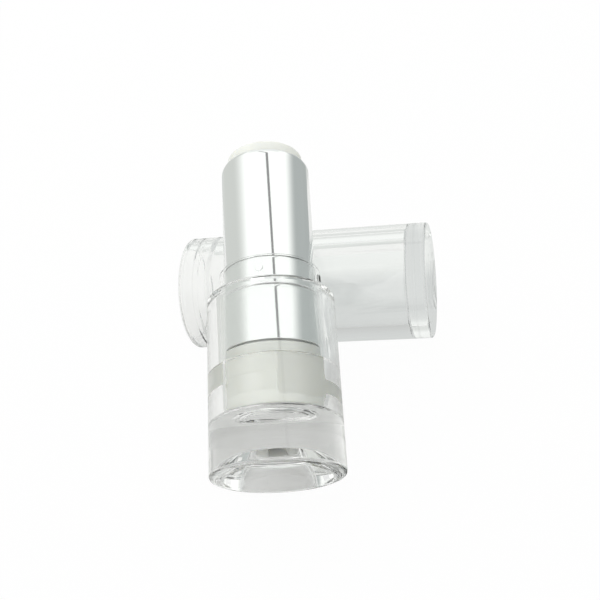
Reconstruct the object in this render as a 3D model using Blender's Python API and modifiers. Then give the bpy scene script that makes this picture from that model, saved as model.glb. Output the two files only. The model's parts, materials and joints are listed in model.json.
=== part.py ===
"""Lipstick tube with a twist mechanism, lying open with its cap taken off.

The tube leans on its own cap: the foot of the clear base stands on the surface and the metal
shell lies across the clear cap. Metres, +Z up, the surface at Z = 0, and the origin on the
surface in the middle of the footprint. The heights of the tube's pieces are counted along
the tube's own axis from the resting face of the base.
"""

import math

import bmesh
import bpy
from mathutils import Matrix, Vector

# Clearances
RUNNING_GAP = 0.00010        # radial, between pieces that slide or turn in each other
PRESS_GAP = 0.00005          # radial, between pieces pressed together for good
SEAT_GAP = 0.00030           # between faces that rest on each other
CUT_OVERRUN = 0.00050        # how far a cutter reaches past what it cuts

# Cup that holds the lipstick
CUP_BORE = 0.00605           # radius that a standard 12.1 mm bullet is pressed into
CUP_WALL = 0.00035
CUP_HEIGHT = 0.0130
CUP_FLOOR_HEIGHT = 0.0040
CUP_FLOOR_THICKNESS = 0.0008
CUP_VENT_RADIUS = 0.0010
CUP_RIB_COUNT = 6
CUP_RIB_PROUD = 0.00025
CUP_RIB_WIDTH = 0.0006
CUP_RIB_LENGTH = 0.0060
LUG_RADIUS = 0.0008
LUG_COUNT = 2
LUG_END_GAP = 0.0001         # between a lug's end and the floor of its groove
LUG_SIDE_GAP = 0.00015       # between a lug and the sides of its slot or groove

# Guide tube with its plug
GUIDE_WALL = 0.00045
GUIDE_RIM_EDGE = 0.0003
BEAD_PROUD = 0.00035
BEAD_HEIGHT = 0.0005
BEAD_END_GAP = 0.00015
PLUG_HEIGHT = 0.0104
PLUG_FLOOR = 0.0012
PLUG_EDGE = 0.0003
PLUG_WAIST_DEPTH = 0.00015
PLUG_BAND_LOW = 0.0017
PLUG_BAND_TOP = 0.0051
PLUG_ABOVE_LEDGE = 0.0021    # the plug's top stands up inside the collar's foot
KEY_HOLE_LENGTH = 0.0032
KEY_HOLE_WIDTH = 0.0020

# Spiral sleeve
SPIRAL_WALL = 0.0006
SPIRAL_LIP = 0.00045         # height of the lip that snaps under the guide tube's bead
GROOVE_DEPTH = 0.0004
SPIRAL_LEAD = 0.0160         # rise of the cup for one turn
SPIRAL_TURNS = 1.5
SPIRAL_START = 0.0006        # above the plug
LUG_START = 0.0034           # height of the lugs above the plug, with the cup down

# Metal shell
SHELL_WALL = 0.0003
SHELL_LENGTH = 0.0372
SHELL_START = 0.0003         # above the plug
SHELL_EDGE = 0.0016          # radius of the rolled top edge
SHELL_ROLL = 64              # degrees through which the top edge is rolled in
RIM_REACH = 0.0022           # guide tube above the shell

# Clear collar in the base
COLLAR_GAP = 0.0002          # radial, round the turning shell
COLLAR_WALL = 0.0006
COLLAR_LENGTH = 0.0175
COLLAR_EDGE = 0.0003
BUMP_COUNT = 4
BUMP_RADIUS = 0.00085
BUMP_THICKNESS = 0.0007
BUMP_PROUD = 0.0002
BUMP_HEIGHT = 0.0030         # above the shoulder of the base

# Clear base
BASE_WALL = 0.00215          # round the collar
BASE_FLOOR = 0.0092
BASE_SHOULDER = 0.0129       # from the ledge under the collar up to the shoulder
BASE_EDGE = 0.0005
FLOOR_FILLET = 0.0006
PAD_RADIUS = 0.0034          # shallow round pad in the bore's floor
PAD_DEPTH = 0.00015
RING_GAP = 0.00005           # between the pad and the first ring groove
INNER_RING_WIDTH = 0.00055
INNER_RING_DEPTH = 0.0004
BETWEEN_RINGS = 0.0002
OUTER_RING_WIDTH = 0.0005
OUTER_RING_DEPTH = 0.0003
FOOT_WIDTH = 0.0009
FOOT_DEPTH = 0.0029          # cone-shaped recess under the foot
FOOT_ROOF_RADIUS = 0.0052
ROOF_EASE_WIDTH = 0.00035
ROOF_EASE_HEIGHT = 0.0002
BORE_CHAMFER = 0.0003

# Clear cap
CAP_LENGTH = 0.0470
CAP_END = 0.0036
CAP_EDGE = 0.0005
CAP_MOUTH_EDGE = 0.0002
CAP_BORE_GAP = 0.00035       # radial, round the shell
CAP_MOUTH_GAP = 0.00015      # radial, round the collar
CAP_MOUTH_ROOM = 0.0003      # mouth deeper than the neck is high
CAP_TAPER = 0.0006
CAP_FILLET = 0.0006
SNAP_WIDTH = 0.0015
SNAP_DEPTH = 0.0001
SNAP_EDGE = 0.0001

# How the pieces lie
LEAN = math.radians(26.2)        # rise of the tube's axis
CAP_TURN = math.radians(-6.77)   # turn of the cap's axis away from +X
CAP_CROSSING = 0.0203            # from the cap's mouth to where the tube crosses it
BUMP_TURN = math.radians(-1.5)    # turn of the first bump towards -X from the tube's top side

# Facets
TURN_STEPS = 48
ARC_STEPS = 3
LUG_STEPS = 16
BUMP_STEPS = 12
BUMP_RINGS = 6
SHARP_ANGLE = math.radians(30)

# Radii from the cup outwards
CUP_RADIUS = CUP_BORE + CUP_WALL
GUIDE_BORE = CUP_RADIUS + RUNNING_GAP
GUIDE_RADIUS = GUIDE_BORE + GUIDE_WALL
BEAD_RADIUS = GUIDE_RADIUS + BEAD_PROUD
SPIRAL_BORE = GUIDE_RADIUS + RUNNING_GAP
GROOVE_RADIUS = SPIRAL_BORE + GROOVE_DEPTH
LUG_REACH = GROOVE_RADIUS - LUG_END_GAP
SPIRAL_RADIUS = SPIRAL_BORE + SPIRAL_WALL
SHELL_BORE = SPIRAL_RADIUS + PRESS_GAP
SHELL_RADIUS = SHELL_BORE + SHELL_WALL
COLLAR_BORE = SHELL_RADIUS + COLLAR_GAP
COLLAR_RADIUS = COLLAR_BORE + COLLAR_WALL
BASE_BORE = COLLAR_RADIUS + PRESS_GAP
BASE_RADIUS = BASE_BORE + BASE_WALL
PLUG_RADIUS = COLLAR_BORE - COLLAR_GAP    # the plug passes through the collar as the shell does
PLUG_BORE = PLUG_RADIUS + RUNNING_GAP
CAP_RADIUS = BASE_RADIUS
CAP_BORE = SHELL_RADIUS + CAP_BORE_GAP
CAP_MOUTH_BORE = COLLAR_RADIUS + CAP_MOUTH_GAP

# Heights along the tube
PLUG_BOTTOM = BASE_FLOOR + SEAT_GAP
PLUG_TOP = PLUG_BOTTOM + PLUG_HEIGHT
LEDGE = PLUG_TOP - PLUG_ABOVE_LEDGE
COLLAR_BOTTOM = LEDGE + SEAT_GAP
COLLAR_TOP = COLLAR_BOTTOM + COLLAR_LENGTH
BASE_TOP = LEDGE + BASE_SHOULDER
NECK_HEIGHT = COLLAR_TOP - BASE_TOP
SHELL_BOTTOM = PLUG_TOP + SHELL_START
SHELL_TOP = SHELL_BOTTOM + SHELL_LENGTH
SPIRAL_BOTTOM = PLUG_TOP + SPIRAL_START
SPIRAL_TOP = SHELL_TOP - SHELL_EDGE - SEAT_GAP
SPIRAL_LENGTH = SPIRAL_TOP - SPIRAL_BOTTOM
GUIDE_TOP = SHELL_TOP + RIM_REACH
LUG_LEVEL = PLUG_TOP + LUG_START
CUP_TRAVEL = SPIRAL_LEAD * SPIRAL_TURNS
LUG_ABOVE_CUP_BOTTOM = LUG_RADIUS + 2 * RUNNING_GAP
CUP_BOTTOM = LUG_LEVEL - LUG_ABOVE_CUP_BOTTOM
CAP_MOUTH_DEPTH = NECK_HEIGHT + CAP_MOUTH_ROOM

PARTS = "lipstick_tube"
CUTTERS = "cutters"


def clear_scene():
    """Remove every object, and the collections of an earlier run."""
    for old in list(bpy.data.objects):
        bpy.data.objects.remove(old, do_unlink=True)
    for name in (PARTS, CUTTERS):
        if name in bpy.data.collections:
            bpy.data.collections.remove(bpy.data.collections[name])
        collection = bpy.data.collections.new(name)
        bpy.context.scene.collection.children.link(collection)


def arc(centre, radius, start, end):
    """Points of an arc in the outline's plane, angles in degrees from the outward radius."""
    points = []
    for step in range(ARC_STEPS + 1):
        angle = math.radians(start + (end - start) * step / ARC_STEPS)
        points.append((centre[0] + radius * math.cos(angle), centre[1] + radius * math.sin(angle)))
    return points


def plastic(name, color, roughness, metallic=0.0, transmission=0.0):
    """Principled material in one colour."""
    material = bpy.data.materials.new(name)
    material.use_nodes = True
    shader = material.node_tree.nodes["Principled BSDF"]
    shader.inputs["Base Color"].default_value = (*color, 1)
    shader.inputs["Roughness"].default_value = roughness
    shader.inputs["Metallic"].default_value = metallic
    shader.inputs["Transmission Weight"].default_value = transmission
    shader.inputs["IOR"].default_value = 1.49
    return material


def turned_mesh(name, outline, closed):
    """Mesh of an outline of (radius, height) points turned round Z.

    The outline runs down its outer side. It starts and ends on the axis, or is closed.
    """
    profile = bpy.data.meshes.new(name + "_profile")
    points = [(radius, 0, height) for radius, height in outline]
    edges = [(i, i + 1) for i in range(len(points) - 1)]
    if closed:
        edges.append((len(points) - 1, 0))
    profile.from_pydata(points, edges, [])
    spinner = bpy.data.objects.new(name + "_profile", profile)
    bpy.context.scene.collection.objects.link(spinner)
    screw = spinner.modifiers.new("turn", "SCREW")
    screw.steps = TURN_STEPS
    screw.render_steps = TURN_STEPS
    screw.use_merge_vertices = True
    screw.merge_threshold = 0.000001
    evaluated = spinner.evaluated_get(bpy.context.evaluated_depsgraph_get())
    mesh = bpy.data.meshes.new_from_object(evaluated)
    mesh.name = name
    bpy.data.objects.remove(spinner, do_unlink=True)
    bpy.data.meshes.remove(profile)
    mesh.shade_smooth()
    mesh.set_sharp_from_angle(angle=SHARP_ANGLE)
    return mesh


def place(name, mesh, parent, height, material=None):
    """Put a mesh on its parent's axis: as a part with its material, or as a cutter without."""
    piece = bpy.data.objects.new(name, mesh)
    bpy.data.collections[PARTS if material else CUTTERS].objects.link(piece)
    piece.parent = parent
    piece.location = (0, 0, height)
    if material:
        mesh.materials.append(material)
    else:
        piece.hide_render = True
        piece.display_type = "WIRE"
    return piece


def combine(piece, other, operation):
    """Cut the other object out of the piece, or join it on."""
    boolean = piece.modifiers.new(other.name, "BOOLEAN")
    boolean.operation = operation
    boolean.object = other
    boolean.solver = "EXACT"


def box_mesh(name, size, middle, turn=0.0):
    """Box of a size, centred on a point, then turned round Z."""
    bm = bmesh.new()
    bmesh.ops.create_cube(bm, size=1)
    bmesh.ops.scale(bm, vec=size, verts=bm.verts)
    bmesh.ops.translate(bm, vec=middle, verts=bm.verts)
    bmesh.ops.rotate(bm, cent=(0, 0, 0), matrix=Matrix.Rotation(turn, 3, "Z"), verts=bm.verts)
    mesh = bpy.data.meshes.new(name)
    bm.to_mesh(mesh)
    bm.free()
    return mesh


def groove(inside, width, depth):
    """Outline of a rounded ring groove in the bore's floor, from its inner radius outwards."""
    points = []
    for step in range(2 * ARC_STEPS + 1):
        share = step / (2 * ARC_STEPS)
        points.append((inside + width * share, BASE_FLOOR - depth * math.sin(math.pi * share)))
    return points


def base_shell(parent):
    """Thick clear base: a solid foot, a bore for the plug and a wider one for the collar."""
    fillet = arc((PLUG_BORE - FLOOR_FILLET, BASE_FLOOR + FLOOR_FILLET), FLOOR_FILLET, -90, 0)
    top_edge = arc((BASE_RADIUS - BASE_EDGE, BASE_TOP - BASE_EDGE), BASE_EDGE, 90, 0)
    foot_edge = arc((BASE_RADIUS - BASE_EDGE, BASE_EDGE), BASE_EDGE, 0, -90)
    foot_inside = BASE_RADIUS - BASE_EDGE - FOOT_WIDTH
    inner_ring = PAD_RADIUS + RING_GAP
    outer_ring = inner_ring + INNER_RING_WIDTH + BETWEEN_RINGS
    outline = [
        (0, BASE_FLOOR - PAD_DEPTH),
        (PAD_RADIUS, BASE_FLOOR - PAD_DEPTH),
        *groove(inner_ring, INNER_RING_WIDTH, INNER_RING_DEPTH),
        *groove(outer_ring, OUTER_RING_WIDTH, OUTER_RING_DEPTH),
        *fillet,
        (PLUG_BORE, LEDGE),
        (BASE_BORE, LEDGE),
        (BASE_BORE, BASE_TOP - BORE_CHAMFER),
        (BASE_BORE + BORE_CHAMFER, BASE_TOP),
        *top_edge,
        *foot_edge,
        (foot_inside, 0),
        (FOOT_ROOF_RADIUS + ROOF_EASE_WIDTH, FOOT_DEPTH - ROOF_EASE_HEIGHT),
        (FOOT_ROOF_RADIUS, FOOT_DEPTH),
        (0, FOOT_DEPTH),
    ]
    clear = plastic("base_shell", (0.94, 0.96, 0.96), 0.03, transmission=1.0)
    return place("base_shell", turned_mesh("base_shell", outline, False), parent, 0, clear)


def bump_mesh(turn):
    """Flattened ball, half sunk in the collar's wall, turned round the tube's axis."""
    bm = bmesh.new()
    bmesh.ops.create_uvsphere(bm, u_segments=BUMP_STEPS, v_segments=BUMP_RINGS, radius=1)
    bmesh.ops.scale(bm, vec=(BUMP_THICKNESS / 2, BUMP_RADIUS, BUMP_RADIUS), verts=bm.verts)
    outwards = COLLAR_RADIUS + BUMP_PROUD - BUMP_THICKNESS / 2
    bmesh.ops.translate(bm, vec=(outwards, 0, 0), verts=bm.verts)
    bmesh.ops.rotate(bm, cent=(0, 0, 0), matrix=Matrix.Rotation(turn, 3, "Z"), verts=bm.verts)
    mesh = bpy.data.meshes.new("bump")
    bm.to_mesh(mesh)
    bm.free()
    return mesh


def collar(parent):
    """Clear collar pressed into the base; its neck carries the bumps that hold the cap."""
    top_edge = arc((COLLAR_RADIUS - COLLAR_EDGE, COLLAR_LENGTH - COLLAR_EDGE), COLLAR_EDGE, 90, 0)
    outline = [
        (COLLAR_BORE, COLLAR_LENGTH),
        *top_edge,
        (COLLAR_RADIUS, 0),
        (COLLAR_BORE, 0),
    ]
    clear = plastic("collar", (0.94, 0.96, 0.96), 0.03, transmission=1.0)
    piece = place("collar", turned_mesh("collar", outline, True), parent, COLLAR_BOTTOM, clear)
    for index in range(BUMP_COUNT):
        turn = BUMP_TURN - math.pi / 2 + index * 2 * math.pi / BUMP_COUNT
        bump = place(f"bump_{index}", bump_mesh(turn), parent, BASE_TOP + BUMP_HEIGHT)
        combine(piece, bump, "UNION")
    return piece


def guide_tube(parent):
    """Translucent guide tube: a plug held in the base, and a slotted tube up to the rim."""
    height = GUIDE_TOP - PLUG_BOTTOM
    rim_edge = arc((GUIDE_RADIUS - GUIDE_RIM_EDGE, height - GUIDE_RIM_EDGE), GUIDE_RIM_EDGE, 90, 0)
    bead_low = SPIRAL_BOTTOM - PLUG_BOTTOM + SPIRAL_LIP + BEAD_END_GAP
    waist = PLUG_RADIUS - PLUG_WAIST_DEPTH
    outline = [
        (0, PLUG_FLOOR),
        (GUIDE_BORE, PLUG_FLOOR),
        (GUIDE_BORE, height),
        *rim_edge,
        (GUIDE_RADIUS, bead_low + BEAD_HEIGHT + BEAD_PROUD),
        (BEAD_RADIUS, bead_low + BEAD_HEIGHT),
        (BEAD_RADIUS, bead_low),
        (GUIDE_RADIUS, bead_low),
        (GUIDE_RADIUS, PLUG_HEIGHT),
        (PLUG_RADIUS - PLUG_EDGE, PLUG_HEIGHT),
        (PLUG_RADIUS, PLUG_HEIGHT - PLUG_EDGE),
        (PLUG_RADIUS, PLUG_HEIGHT - PLUG_BAND_TOP),
        (waist, PLUG_HEIGHT - PLUG_BAND_TOP - PLUG_WAIST_DEPTH),
        (waist, PLUG_BAND_LOW + PLUG_WAIST_DEPTH),
        (PLUG_RADIUS, PLUG_BAND_LOW),
        (PLUG_RADIUS, PLUG_EDGE),
        (PLUG_RADIUS - PLUG_EDGE, 0),
        (0, 0),
    ]
    white = plastic("guide_tube", (0.80, 0.81, 0.77), 0.35, transmission=0.2)
    piece = place("guide_tube", turned_mesh("guide_tube", outline, False), parent, PLUG_BOTTOM, white)

    half_slot = LUG_RADIUS + LUG_SIDE_GAP
    slot_size = (2 * (GUIDE_RADIUS + CUT_OVERRUN), 2 * half_slot, CUP_TRAVEL + 2 * half_slot)
    slot = box_mesh("slot", slot_size, (0, 0, CUP_TRAVEL / 2))
    combine(piece, place("slot", slot, parent, LUG_LEVEL), "DIFFERENCE")

    hole_size = (KEY_HOLE_LENGTH, KEY_HOLE_WIDTH, PLUG_FLOOR + 2 * CUT_OVERRUN)
    hole = box_mesh("key_hole", hole_size, (0, 0, PLUG_FLOOR / 2))
    combine(piece, place("key_hole", hole, parent, PLUG_BOTTOM), "DIFFERENCE")
    return piece


def groove_mesh(start_turn):
    """Helical bar that cuts one groove: it climbs as it turns clockwise seen from above."""
    climb_angle = math.atan2(SPIRAL_LEAD, 2 * math.pi * GROOVE_RADIUS)
    height = 2 * (LUG_RADIUS + LUG_SIDE_GAP) / math.cos(climb_angle)
    end_turn = (LUG_RADIUS + 2 * LUG_SIDE_GAP) / SPIRAL_BORE
    swept = 2 * math.pi * SPIRAL_TURNS + 2 * end_turn
    rise_per_radian = SPIRAL_LEAD / (2 * math.pi)
    depth = GROOVE_DEPTH + CUT_OVERRUN

    bm = bmesh.new()
    section = bmesh.ops.create_grid(bm, x_segments=1, y_segments=1, size=1)["verts"]
    bmesh.ops.scale(bm, vec=(depth / 2, height / 2, 1), verts=section)
    bmesh.ops.rotate(bm, cent=(0, 0, 0), matrix=Matrix.Rotation(math.pi / 2, 3, "X"), verts=section)
    middle = (GROOVE_RADIUS - depth / 2, 0, -end_turn * rise_per_radian)
    bmesh.ops.translate(bm, vec=middle, verts=section)
    start = Matrix.Rotation(start_turn + end_turn, 3, "Z")
    bmesh.ops.rotate(bm, cent=(0, 0, 0), matrix=start, verts=section)
    steps = round(TURN_STEPS * swept / (2 * math.pi))
    bmesh.ops.spin(
        bm,
        geom=bm.verts[:] + bm.edges[:] + bm.faces[:],
        cent=(0, 0, 0),
        axis=(0, 0, 1),
        angle=-swept,
        dvec=(0, 0, swept * rise_per_radian / steps),
        steps=steps,
        use_duplicate=False,
    )
    bmesh.ops.recalc_face_normals(bm, faces=bm.faces)
    mesh = bpy.data.meshes.new("groove")
    bm.to_mesh(mesh)
    bm.free()
    return mesh


def spiral_sleeve(parent):
    """Sleeve with two helical grooves inside; a lip at its foot snaps under the guide's bead."""
    snap_top = SPIRAL_LIP + BEAD_HEIGHT + BEAD_PROUD + 2 * BEAD_END_GAP
    snap_radius = BEAD_RADIUS + RUNNING_GAP
    outline = [
        (SPIRAL_BORE, SPIRAL_LENGTH),
        (SPIRAL_RADIUS, SPIRAL_LENGTH),
        (SPIRAL_RADIUS, 0),
        (SPIRAL_BORE, 0),
        (SPIRAL_BORE, SPIRAL_LIP),
        (snap_radius, SPIRAL_LIP),
        (snap_radius, snap_top),
        (SPIRAL_BORE, snap_top),
    ]
    white = plastic("spiral_sleeve", (0.82, 0.82, 0.79), 0.4)
    sleeve = turned_mesh("spiral_sleeve", outline, True)
    piece = place("spiral_sleeve", sleeve, parent, SPIRAL_BOTTOM, white)
    for index in range(LUG_COUNT):
        groove = groove_mesh(index * 2 * math.pi / LUG_COUNT)
        combine(piece, place(f"groove_{index}", groove, parent, LUG_LEVEL), "DIFFERENCE")
    return piece


def metal_shell(parent):
    """Drawn metal shell with its top edge rolled in over the spiral sleeve."""
    edge_rise = SHELL_EDGE * math.sin(math.radians(SHELL_ROLL))
    middle = (SHELL_RADIUS - SHELL_EDGE, SHELL_LENGTH - edge_rise)
    outline = [
        *arc(middle, SHELL_EDGE, SHELL_ROLL, 0),
        (SHELL_RADIUS, 0),
        (SHELL_BORE, 0),
        *arc(middle, SHELL_EDGE - SHELL_WALL, 0, SHELL_ROLL),
    ]
    silver = plastic("metal_shell", (0.86, 0.87, 0.87), 0.08, metallic=1.0)
    return place("metal_shell", turned_mesh("metal_shell", outline, True), parent, SHELL_BOTTOM, silver)


def lug_mesh(turn):
    """Round pin that stands out of the cup, turned round the tube's axis."""
    inside = CUP_BORE + CUP_WALL / 2
    bm = bmesh.new()
    bmesh.ops.create_cone(
        bm,
        cap_ends=True,
        segments=LUG_STEPS,
        radius1=LUG_RADIUS,
        radius2=LUG_RADIUS,
        depth=LUG_REACH - inside,
    )
    bmesh.ops.rotate(bm, cent=(0, 0, 0), matrix=Matrix.Rotation(math.pi / 2, 3, "Y"), verts=bm.verts)
    bmesh.ops.translate(bm, vec=((LUG_REACH + inside) / 2, 0, 0), verts=bm.verts)
    bmesh.ops.rotate(bm, cent=(0, 0, 0), matrix=Matrix.Rotation(turn, 3, "Z"), verts=bm.verts)
    mesh = bpy.data.meshes.new("lug")
    bm.to_mesh(mesh)
    bm.free()
    return mesh


def cup(parent):
    """Cup that holds the lipstick: ribs inside, and two lugs that run in slots and grooves."""
    floor_top = CUP_FLOOR_HEIGHT + CUP_FLOOR_THICKNESS
    outline = [
        (CUP_VENT_RADIUS, floor_top),
        (CUP_BORE, floor_top),
        (CUP_BORE, CUP_HEIGHT),
        (CUP_RADIUS, CUP_HEIGHT),
        (CUP_RADIUS, 0),
        (CUP_BORE, 0),
        (CUP_BORE, CUP_FLOOR_HEIGHT),
        (CUP_VENT_RADIUS, CUP_FLOOR_HEIGHT),
    ]
    white = plastic("cup", (0.82, 0.82, 0.80), 0.4)
    piece = place("cup", turned_mesh("cup", outline, True), parent, CUP_BOTTOM, white)
    for index in range(LUG_COUNT):
        lug = lug_mesh(index * 2 * math.pi / LUG_COUNT)
        combine(piece, place(f"lug_{index}", lug, parent, LUG_LEVEL), "UNION")

    rib_depth = CUP_RIB_PROUD + CUP_WALL / 2
    rib_size = (rib_depth, CUP_RIB_WIDTH, CUP_RIB_LENGTH + CUP_FLOOR_THICKNESS / 2)
    rib_middle = (CUP_BORE - CUP_RIB_PROUD + rib_depth / 2, 0, CUP_RIB_LENGTH / 2)
    for index in range(CUP_RIB_COUNT):
        turn = (index + 0.5) * 2 * math.pi / CUP_RIB_COUNT
        rib = box_mesh("rib", rib_size, rib_middle, turn)
        combine(piece, place(f"rib_{index}", rib, parent, CUP_BOTTOM + floor_top), "UNION")
    return piece


def cap(parent):
    """Clear cap with a thick closed end, a wider mouth and a snap groove for the bumps."""
    mouth_edge = arc((CAP_RADIUS - CAP_MOUTH_EDGE, CAP_MOUTH_EDGE), CAP_MOUTH_EDGE, 0, -90)
    end_edge = arc((CAP_RADIUS - CAP_EDGE, CAP_LENGTH - CAP_EDGE), CAP_EDGE, 90, 0)
    bore_end = CAP_LENGTH - CAP_END
    fillet = arc((CAP_BORE - CAP_FILLET, bore_end - CAP_FILLET), CAP_FILLET, 0, 90)
    snap_low = BUMP_HEIGHT - SNAP_WIDTH / 2
    snap_high = BUMP_HEIGHT + SNAP_WIDTH / 2
    snap_radius = CAP_MOUTH_BORE + SNAP_DEPTH
    outline = [
        (0, CAP_LENGTH),
        *end_edge,
        *mouth_edge,
        (CAP_MOUTH_BORE, 0),
        (CAP_MOUTH_BORE, snap_low),
        (snap_radius, snap_low + SNAP_EDGE),
        (snap_radius, snap_high - SNAP_EDGE),
        (CAP_MOUTH_BORE, snap_high),
        (CAP_MOUTH_BORE, CAP_MOUTH_DEPTH),
        (CAP_BORE, CAP_MOUTH_DEPTH + CAP_TAPER),
        *fillet,
        (0, bore_end),
    ]
    clear = plastic("cap", (0.94, 0.96, 0.96), 0.03, transmission=1.0)
    return place("cap", turned_mesh("cap", outline, False), parent, 0, clear)


def lay_out():
    """Where the foot of the tube and the mouth of the cap lie, on the surface at Z = 0.

    The lowest point of the base's rounded foot and the side of the cap touch the surface, and
    the shell lies on the cap across the common normal of the two axes.
    """
    tube = Vector((0, math.cos(LEAN), math.sin(LEAN)))
    along_cap = Vector((math.cos(CAP_TURN), math.sin(CAP_TURN), 0))
    normal = along_cap.cross(tube).normalized()
    if normal.z < 0:
        normal.negate()
    foot_height = (BASE_RADIUS - BASE_EDGE) * tube.y + BASE_EDGE * (1 - tube.z)
    apart = SHELL_RADIUS + CAP_RADIUS + SEAT_GAP
    crossing = (CAP_RADIUS + apart * normal.z - foot_height) / tube.z
    foot = Vector((0, 0, foot_height))
    mouth = foot + tube * crossing - normal * apart - along_cap * CAP_CROSSING

    cap_side = CAP_RADIUS * abs(along_cap.y)
    low_x = mouth.x - cap_side
    high_x = mouth.x + CAP_LENGTH * along_cap.x + cap_side
    low_y = foot.y + BASE_EDGE * (tube.y - 1) - (BASE_RADIUS - BASE_EDGE) * tube.z
    high_y = mouth.y + CAP_RADIUS * along_cap.x
    middle = Vector(((low_x + high_x) / 2, (low_y + high_y) / 2, 0))
    return foot - middle, mouth - middle


def axis_empty(name, location, rotation):
    """Empty whose Z is the axis of what it carries."""
    empty = bpy.data.objects.new(name, None)
    bpy.data.collections[PARTS].objects.link(empty)
    empty.location = location
    empty.rotation_euler = rotation
    empty.empty_display_size = BASE_RADIUS
    return empty


def main():
    clear_scene()
    foot, mouth = lay_out()
    tube_axis = axis_empty("tube_axis", foot, (LEAN - math.pi / 2, 0, 0))
    cap_axis = axis_empty("cap_axis", mouth, (0, math.pi / 2, CAP_TURN))
    base_shell(tube_axis)
    collar(tube_axis)
    guide_tube(tube_axis)
    spiral_sleeve(tube_axis)
    metal_shell(tube_axis)
    cup(tube_axis)
    cap(cap_axis)
    print("foot", tuple(foot), "mouth of the cap", tuple(mouth))


main()
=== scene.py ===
# %% [markdown]
# # A lipstick tube in clear acrylic, silver and natural white
#
# The tube lies open: its thick clear base stands on the surface, and its metal shell leans across its own
# clear cap. The fixed frame that is loaded first already has every piece at its real size and place, as
# plain faceted solids. This lesson makes fine pieces that stand for all of them but the hidden spiral, gives
# each one a finish, and lights them in a small white studio.

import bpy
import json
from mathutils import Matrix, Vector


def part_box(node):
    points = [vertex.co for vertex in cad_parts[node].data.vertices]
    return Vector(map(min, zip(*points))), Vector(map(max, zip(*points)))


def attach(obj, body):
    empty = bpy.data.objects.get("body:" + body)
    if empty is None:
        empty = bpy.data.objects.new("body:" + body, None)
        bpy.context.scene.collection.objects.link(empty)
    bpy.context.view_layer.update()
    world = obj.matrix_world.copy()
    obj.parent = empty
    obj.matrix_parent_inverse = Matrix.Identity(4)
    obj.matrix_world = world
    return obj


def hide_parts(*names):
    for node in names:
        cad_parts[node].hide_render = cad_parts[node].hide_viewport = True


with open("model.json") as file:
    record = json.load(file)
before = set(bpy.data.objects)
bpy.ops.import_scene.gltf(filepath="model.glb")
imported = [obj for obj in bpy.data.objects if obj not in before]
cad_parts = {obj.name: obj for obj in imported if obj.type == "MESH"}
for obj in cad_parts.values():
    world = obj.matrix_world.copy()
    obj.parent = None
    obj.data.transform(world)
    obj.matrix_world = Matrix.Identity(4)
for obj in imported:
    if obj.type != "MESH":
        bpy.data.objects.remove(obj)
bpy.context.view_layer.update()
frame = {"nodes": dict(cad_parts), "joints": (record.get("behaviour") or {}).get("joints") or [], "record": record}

# %% Blender's modules and the unit
import json
import math

import bmesh
import bpy
from mathutils import Matrix, Quaternion, Vector

MM = 0.001

# %% [markdown]
# ## Two axes carry everything
#
# Every piece but the spiral starts as a turned shape, from an outline and an axis. The tube's axis is the
# hinge that the metal shell turns on, and the cap's axis is the line that the cap is pulled along. Both are
# joints of the frame, so they are read from it. A matrix with its Z along the axis then lets each outline
# be written as plain radii and heights in millimetres.

# %% Read the axes
joints = {joint["name"]: joint for joint in frame["joints"]}
mounts = {mount["name"]: mount for mount in frame["record"]["mounts"]}

CAP_LENGTH = 47.0
tube_foot = Vector(joints["sleeve_turn"]["pos_m"])
tube_way = Vector(joints["sleeve_turn"]["axis"]).normalized()
cap_way = Vector(joints["cap_slide"]["axis"]).normalized()
cap_mouth = Vector(mounts["cap_end"]["pos_m"]) - CAP_LENGTH * MM * cap_way


def on_axis(origin, way, side):
    """Matrix of a millimetre frame: Z along the axis, and X as near to the side as it can be."""
    x_axis = (side - side.dot(way) * way).normalized()
    y_axis = way.cross(x_axis)
    turn = Matrix((x_axis, y_axis, way)).transposed().to_4x4()
    return Matrix.Translation(origin) @ turn


TUBE = on_axis(tube_foot, tube_way, Vector((1, 0, 0)))
CAP = on_axis(cap_mouth, cap_way, Vector((0, 0, -1)))
print("tube leans", round(math.degrees(math.asin(tube_way.z)), 2), "degrees")

# %% [markdown]
# ## The camera
#
# The photograph looks down at the foot of the tube from the front and a little from the right, and the
# camera is rolled so that the tube stands nearly upright in the picture. The camera is aimed with three
# angles and a distance round one point, which is easier to read and to change than a rotation matrix.

# %% Aim the camera
CAMERA_AIM = Vector((0.40, 2.42, 20.92)) * MM
CAMERA_DISTANCE = 157.06 * MM
CAMERA_AZIMUTH = math.radians(-11.08)
CAMERA_ELEVATION = math.radians(38.22)
CAMERA_ROLL = math.radians(-14.30)
CAMERA_LENS = 53.72

looking = Vector((
    math.sin(CAMERA_AZIMUTH) * math.cos(CAMERA_ELEVATION),
    math.cos(CAMERA_AZIMUTH) * math.cos(CAMERA_ELEVATION),
    -math.sin(CAMERA_ELEVATION),
))
camera = bpy.data.objects.new("camera", bpy.data.cameras.new("camera"))
bpy.context.scene.collection.objects.link(camera)
camera.location = CAMERA_AIM - CAMERA_DISTANCE * looking
camera.rotation_mode = "QUATERNION"
camera.rotation_quaternion = looking.to_track_quat("-Z", "Y") @ Quaternion((0, 0, 1), CAMERA_ROLL)
camera.data.lens = CAMERA_LENS
camera.data.clip_start = 0.01
bpy.context.scene.camera = camera
print("camera at", tuple(round(value, 4) for value in camera.location))

# %% [markdown]
# ## A white studio
#
# Clear acrylic and bright metal have no look of their own: they show the room. The room of the photograph
# looks white and softly lit, so the world is white for the camera, and nearly so for reflections and for
# what is seen through the clear pieces. Diffuse rays get a plainer level, or the white parts would wash out.

# %% World
SKY_LEVEL = 0.75
SKY_COLOR = (0.99, 1.0, 0.99, 1)
ROOM_SHARE = 0.85

scene = bpy.context.scene
scene.world = bpy.data.worlds.new("white_room")
scene.world.use_nodes = True
scene.view_settings.view_transform = "Standard"


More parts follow.
